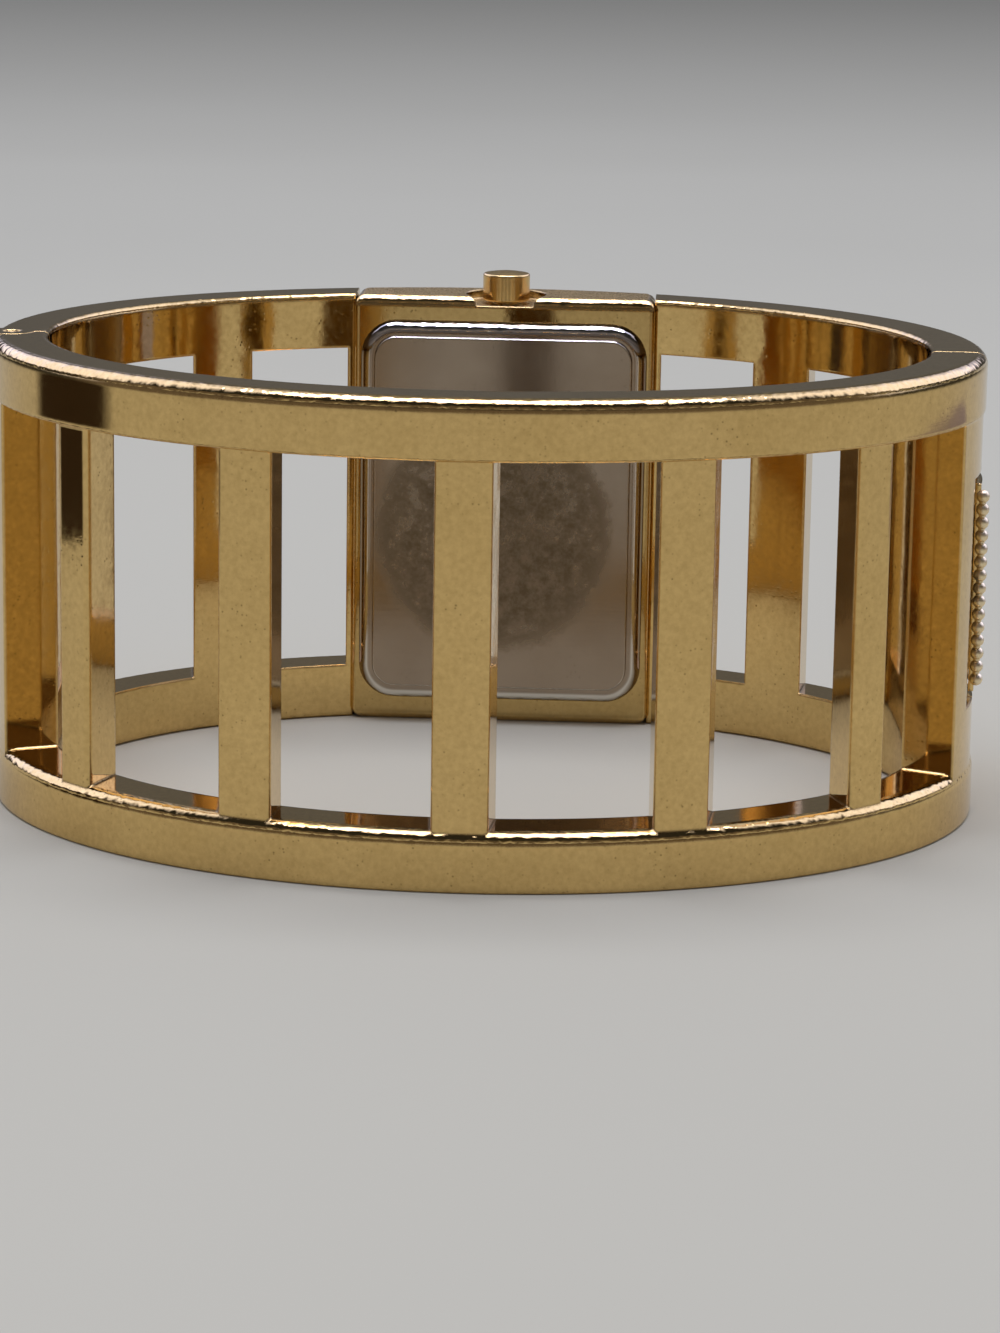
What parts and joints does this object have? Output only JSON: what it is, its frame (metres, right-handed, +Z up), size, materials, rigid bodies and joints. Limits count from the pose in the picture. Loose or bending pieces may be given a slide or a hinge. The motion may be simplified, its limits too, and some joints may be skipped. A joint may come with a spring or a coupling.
{
  "type": "bangle watch",
  "caption": "Oval hinged bangle with openwork bars, a fold-over clasp lever and a rectangular quartz watch head with a steel back and a crown",
  "frame": {"origin": "middle of the bangle's oval, on the plane its lower rim stands on", "axes": "+X from the hinge end to the clasp end, along the oval's long axis; +Y to the dial; +Z up the bangle's own axis, towards the crown"},
  "size_m": [0.0664, 0.0535, 0.0327],
  "materials": {
    "bangle_gold": "satin gold plate",
    "lever_gold": "polished gold plate",
    "bead_gold": "polished gold plate",
    "case_gold": "satin gold plate",
    "crown_gold": "polished gold plate",
    "pin_steel": "drawn",
    "spring_steel": "spring temper",
    "crystal_glass": "polished",
    "clear_gasket": "moulded",
    "back_steel": "polished, worn",
    "black_gasket": "moulded",
    "stem_steel": "turned",
    "tube_brass": "turned",
    "dial_face": "champagne satin",
    "hand_gold": "polished",
    "gear_brass": "cut",
    "magnet_iron": "stamped",
    "copper_wire": "enamelled copper",
    "plate_nickel": "nickel plated",
    "cell_steel": "stamped",
    "can_metal": "drawn",
    "board": "solder mask",
    "chip_resin": "cured drop",
    "holder_plastic": "moulded"
  },
  "bodies": {
    "front_half": {"left_arm": "bangle_gold", "right_arm": "bangle_gold", "hinge_pin": "pin_steel", "clasp_pin": "pin_steel", "case_body": "case_gold", "bezel": "case_gold", "crystal": "crystal_glass", "crystal_gasket": "clear_gasket", "case_back": "back_steel", "case_back_gasket": "black_gasket", "crown_tube": "tube_brass", "dial": "dial_face", "hour_markers": "hand_gold", "stator": "magnet_iron", "coil_core": "magnet_iron", "coil": "copper_wire", "main_plate": "plate_nickel", "train_bridge": "plate_nickel", "movement_screws": "stem_steel", "battery": "cell_steel", "battery_strap": "spring_steel", "quartz_can": "can_metal", "circuit_board": "board", "control_chip": "chip_resin", "movement_holder": "holder_plastic"},
    "back_half": {"back_half": "bangle_gold", "catch_spring": "spring_steel"},
    "lever": {"clasp_lever": "lever_gold", "clasp_beads": "bead_gold"},
    "crown_slide": {"crown_gasket": "black_gasket"},
    "crown": {"crown": "crown_gold", "crown_stem": "stem_steel"},
    "clutch": {"clutch_wheel": "stem_steel"},
    "setting_lever": {"setting_lever": "stem_steel"},
    "yoke": {"yoke": "stem_steel"},
    "centre": {"centre_wheel": "gear_brass", "cannon_pinion": "stem_steel", "minute_hand": "hand_gold"},
    "hour": {"hour_wheel": "gear_brass", "hour_hand": "hand_gold"},
    "minute_wheel": {"minute_wheel": "gear_brass"},
    "intermediate": {"intermediate_wheel": "gear_brass"},
    "rotor": {"rotor": "stem_steel"}
  },
  "joints": [
    {"name": "bangle_hinge", "type": "hinge", "parent": "front_half", "child": "back_half", "pos_m": [-0.03164, -0.0016, 0.0155], "axis": [0, 0, -1], "range_deg": [0, 60]},
    {"name": "clasp_hinge", "type": "hinge", "parent": "front_half", "child": "lever", "pos_m": [0.03139, 0.005, 0.0155], "axis": [0, 0, 1], "range_deg": [0, 85]},
    {"name": "crown_pull", "type": "slide", "parent": "front_half", "child": "crown_slide", "axis": [0, 0, 1], "range_m": [0, 0.001]},
    {"name": "crown_turn", "type": "hinge", "parent": "crown_slide", "child": "crown", "pos_m": [0, 0.0224, 0.0305], "axis": [0, 0, 1], "continuous": true},
    {"name": "clutch_slide", "type": "slide", "parent": "crown", "child": "clutch", "axis": [0, 0, 1], "range_m": [-0.0016, 0]},
    {"name": "setting_lever_turn", "type": "hinge", "parent": "front_half", "child": "setting_lever", "pos_m": [0.0027, 0.0217, 0.0222], "axis": [0, 1, 0], "range_deg": [0, 25.61]},
    {"name": "yoke_turn", "type": "hinge", "parent": "front_half", "child": "yoke", "pos_m": [-0.0029, 0.0217, 0.02053], "axis": [0, 1, 0], "range_deg": [0, 16.03]},
    {"name": "minute_turn", "type": "hinge", "parent": "front_half", "child": "centre", "pos_m": [0, 0.0239, 0.0155], "axis": [0, -1, 0], "continuous": true},
    {"name": "hour_turn", "type": "hinge", "parent": "front_half", "child": "hour", "pos_m": [0, 0.0239, 0.0155], "axis": [0, -1, 0], "continuous": true},
    {"name": "minute_wheel_turn", "type": "hinge", "parent": "front_half", "child": "minute_wheel", "pos_m": [0, 0.0236, 0.0175], "axis": [0, -1, 0], "continuous": true},
    {"name": "intermediate_turn", "type": "hinge", "parent": "front_half", "child": "intermediate", "pos_m": [0.00193, 0.0221, 0.0132], "axis": [0, -1, 0], "continuous": true},
    {"name": "rotor_turn", "type": "hinge", "parent": "front_half", "child": "rotor", "pos_m": [0.00425, 0.0224, 0.01236], "axis": [0, -1, 0], "continuous": true}
  ],
  "couplings": [
    {"joint": "clutch_slide", "follows": "crown_pull", "ratio": -1.6},
    {"joint": "setting_lever_turn", "follows": "crown_pull", "rad_per_m": 446.95},
    {"joint": "yoke_turn", "follows": "crown_pull", "rad_per_m": 279.85},
    {"joint": "hour_turn", "follows": "minute_turn", "ratio": 0.083333},
    {"joint": "minute_wheel_turn", "follows": "minute_turn", "ratio": -0.33333},
    {"joint": "intermediate_turn", "follows": "minute_turn", "ratio": -9},
    {"joint": "rotor_turn", "follows": "minute_turn", "ratio": 90}
  ]
}
